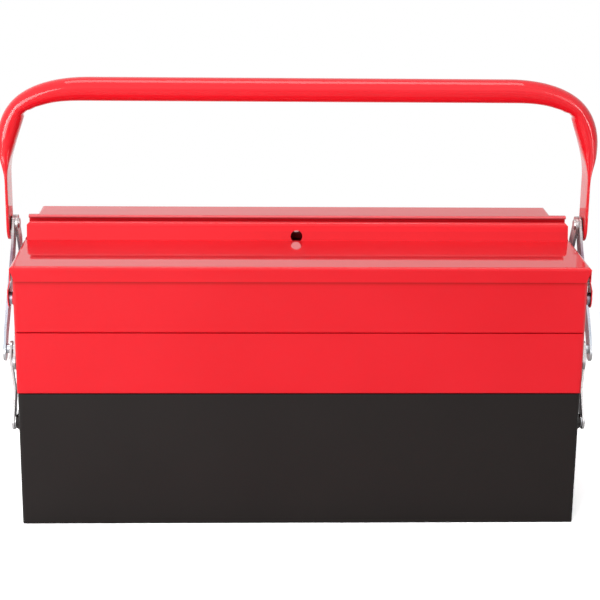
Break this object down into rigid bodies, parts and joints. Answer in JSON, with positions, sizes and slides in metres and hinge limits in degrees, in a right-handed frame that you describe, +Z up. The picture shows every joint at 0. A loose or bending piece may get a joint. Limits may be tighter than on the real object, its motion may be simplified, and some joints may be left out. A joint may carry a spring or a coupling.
{
  "type": "cantilever tool box",
  "caption": "Cantilever tool box: a black bottom box, tiers of red trays on riveted swing arms, hinged lids, and a bent tube handle on links that folds the tiers shut.",
  "frame": {"origin": "centre of the flat bottom of the box, on the surface it rests on", "axes": "+X along the lids to the right as seen from the front, +Y to the back, +Z up"},
  "size_m": [0.4908, 0.208, 0.3457],
  "materials": {
    "red_paint": "gloss",
    "black_paint": "satin",
    "zinc": "zinc plated",
    "black_spacer": "matte"
  },
  "bodies": {
    "base": {"base_box": "black_paint", "base_rivets": "zinc", "base_washers": "zinc"},
    "front_lower_arms": {"front_left_lower_arm": "zinc", "front_right_lower_arm": "zinc"},
    "rear_lower_arms": {"rear_left_lower_arm": "zinc", "rear_right_lower_arm": "zinc"},
    "front_long_arms": {"front_left_long_arm": "zinc", "front_right_long_arm": "zinc"},
    "rear_long_arms": {"rear_left_long_arm": "zinc", "rear_right_long_arm": "zinc"},
    "front_lower_tray": {"front_lower_tray": "red_paint", "front_lower_tray_rivets": "zinc", "front_lower_tray_washers": "zinc"},
    "rear_lower_tray": {"rear_lower_tray": "red_paint", "rear_lower_tray_rivets": "zinc", "rear_lower_tray_washers": "zinc"},
    "front_upper_arms": {"front_left_upper_arm": "zinc", "front_right_upper_arm": "zinc"},
    "rear_upper_arms": {"rear_left_upper_arm": "zinc", "rear_right_upper_arm": "zinc"},
    "front_upper_tray": {"front_upper_tray": "red_paint", "front_upper_tray_rivets": "zinc", "front_upper_tray_washers": "zinc"},
    "rear_upper_tray": {"rear_upper_tray": "red_paint", "rear_upper_tray_rivets": "zinc", "rear_upper_tray_washers": "zinc"},
    "front_lid": {"front_lid": "red_paint", "front_lid_ears": "red_paint"},
    "rear_lid": {"rear_lid": "red_paint", "rear_lid_ears": "red_paint"},
    "front_links": {"front_left_handle_link": "zinc", "front_right_handle_link": "zinc"},
    "rear_links": {"rear_left_handle_link": "zinc", "rear_right_handle_link": "zinc", "rear_link_rivets": "zinc"},
    "handle": {"handle": "red_paint", "apex_rivets": "zinc", "apex_spacers": "black_spacer"}
  },
  "joints": [
    {"name": "front_arm_swing", "type": "hinge", "parent": "base", "child": "front_lower_arms", "pos_m": [0, -0.091, 0.0843], "axis": [1, 0, 0], "range_deg": [0, 47]},
    {"name": "front_long_arm_swing", "type": "hinge", "parent": "base", "child": "front_long_arms", "pos_m": [0, -0.074, 0.0843], "axis": [1, 0, 0], "range_deg": [0, 47]},
    {"name": "front_lower_tray_swing", "type": "hinge", "parent": "front_lower_arms", "child": "front_lower_tray", "pos_m": [0, -0.058, 0.1345], "axis": [-1, 0, 0], "range_deg": [0, 47]},
    {"name": "front_upper_arm_swing", "type": "hinge", "parent": "front_lower_tray", "child": "front_upper_arms", "pos_m": [0, -0.091, 0.1345], "axis": [1, 0, 0], "range_deg": [0, 47]},
    {"name": "front_upper_tray_swing", "type": "hinge", "parent": "front_upper_arms", "child": "front_upper_tray", "pos_m": [0, -0.058, 0.1847], "axis": [-1, 0, 0], "range_deg": [0, 47]},
    {"name": "front_lid_hinge", "type": "hinge", "parent": "front_upper_tray", "child": "front_lid", "pos_m": [0, -0.09, 0.1865], "axis": [1, 0, 0], "range_deg": [0, 100]},
    {"name": "front_link_swing", "type": "hinge", "parent": "front_lower_tray", "child": "front_links", "pos_m": [0, -0.058, 0.1345], "axis": [-1, 0, 0], "range_deg": [0, 46.2]},
    {"name": "handle_swing", "type": "hinge", "parent": "front_links", "child": "handle", "pos_m": [0, 0, 0.2245], "axis": [1, 0, 0], "range_deg": [0, 46.2]},
    {"name": "rear_arm_swing", "type": "hinge", "parent": "base", "child": "rear_lower_arms", "pos_m": [0, 0.091, 0.0843], "axis": [-1, 0, 0], "range_deg": [0, 47]},
    {"name": "rear_long_arm_swing", "type": "hinge", "parent": "base", "child": "rear_long_arms", "pos_m": [0, 0.074, 0.0843], "axis": [-1, 0, 0], "range_deg": [0, 47]},
    {"name": "rear_lower_tray_swing", "type": "hinge", "parent": "rear_lower_arms", "child": "rear_lower_tray", "pos_m": [0, 0.058, 0.1345], "axis": [1, 0, 0], "range_deg": [0, 47]},
    {"name": "rear_upper_arm_swing", "type": "hinge", "parent": "rear_lower_tray", "child": "rear_upper_arms", "pos_m": [0, 0.091, 0.1345], "axis": [-1, 0, 0], "range_deg": [0, 47]},
    {"name": "rear_upper_tray_swing", "type": "hinge", "parent": "rear_upper_arms", "child": "rear_upper_tray", "pos_m": [0, 0.058, 0.1847], "axis": [1, 0, 0], "range_deg": [0, 47]},
    {"name": "rear_lid_hinge", "type": "hinge", "parent": "rear_upper_tray", "child": "rear_lid", "pos_m": [0, 0.09, 0.1865], "axis": [-1, 0, 0], "range_deg": [0, 100]},
    {"name": "rear_link_swing", "type": "hinge", "parent": "rear_lower_tray", "child": "rear_links", "pos_m": [0, 0.058, 0.1345], "axis": [1, 0, 0], "range_deg": [0, 46.2]}
  ],
  "couplings": [
    {"joint": "front_long_arm_swing", "follows": "front_arm_swing", "ratio": 1},
    {"joint": "front_lower_tray_swing", "follows": "front_arm_swing", "ratio": 1},
    {"joint": "front_upper_arm_swing", "follows": "front_arm_swing", "ratio": 1},
    {"joint": "front_upper_tray_swing", "follows": "front_arm_swing", "ratio": 1},
    {"joint": "front_link_swing", "follows": "front_arm_swing", "ratio": 0.981},
    {"joint": "handle_swing", "follows": "front_arm_swing", "ratio": 0.981},
    {"joint": "rear_arm_swing", "follows": "front_arm_swing", "ratio": 1},
    {"joint": "rear_long_arm_swing", "follows": "front_arm_swing", "ratio": 1},
    {"joint": "rear_lower_tray_swing", "follows": "front_arm_swing", "ratio": 1},
    {"joint": "rear_upper_arm_swing", "follows": "front_arm_swing", "ratio": 1},
    {"joint": "rear_upper_tray_swing", "follows": "front_arm_swing", "ratio": 1},
    {"joint": "rear_link_swing", "follows": "front_arm_swing", "ratio": 0.981}
  ]
}
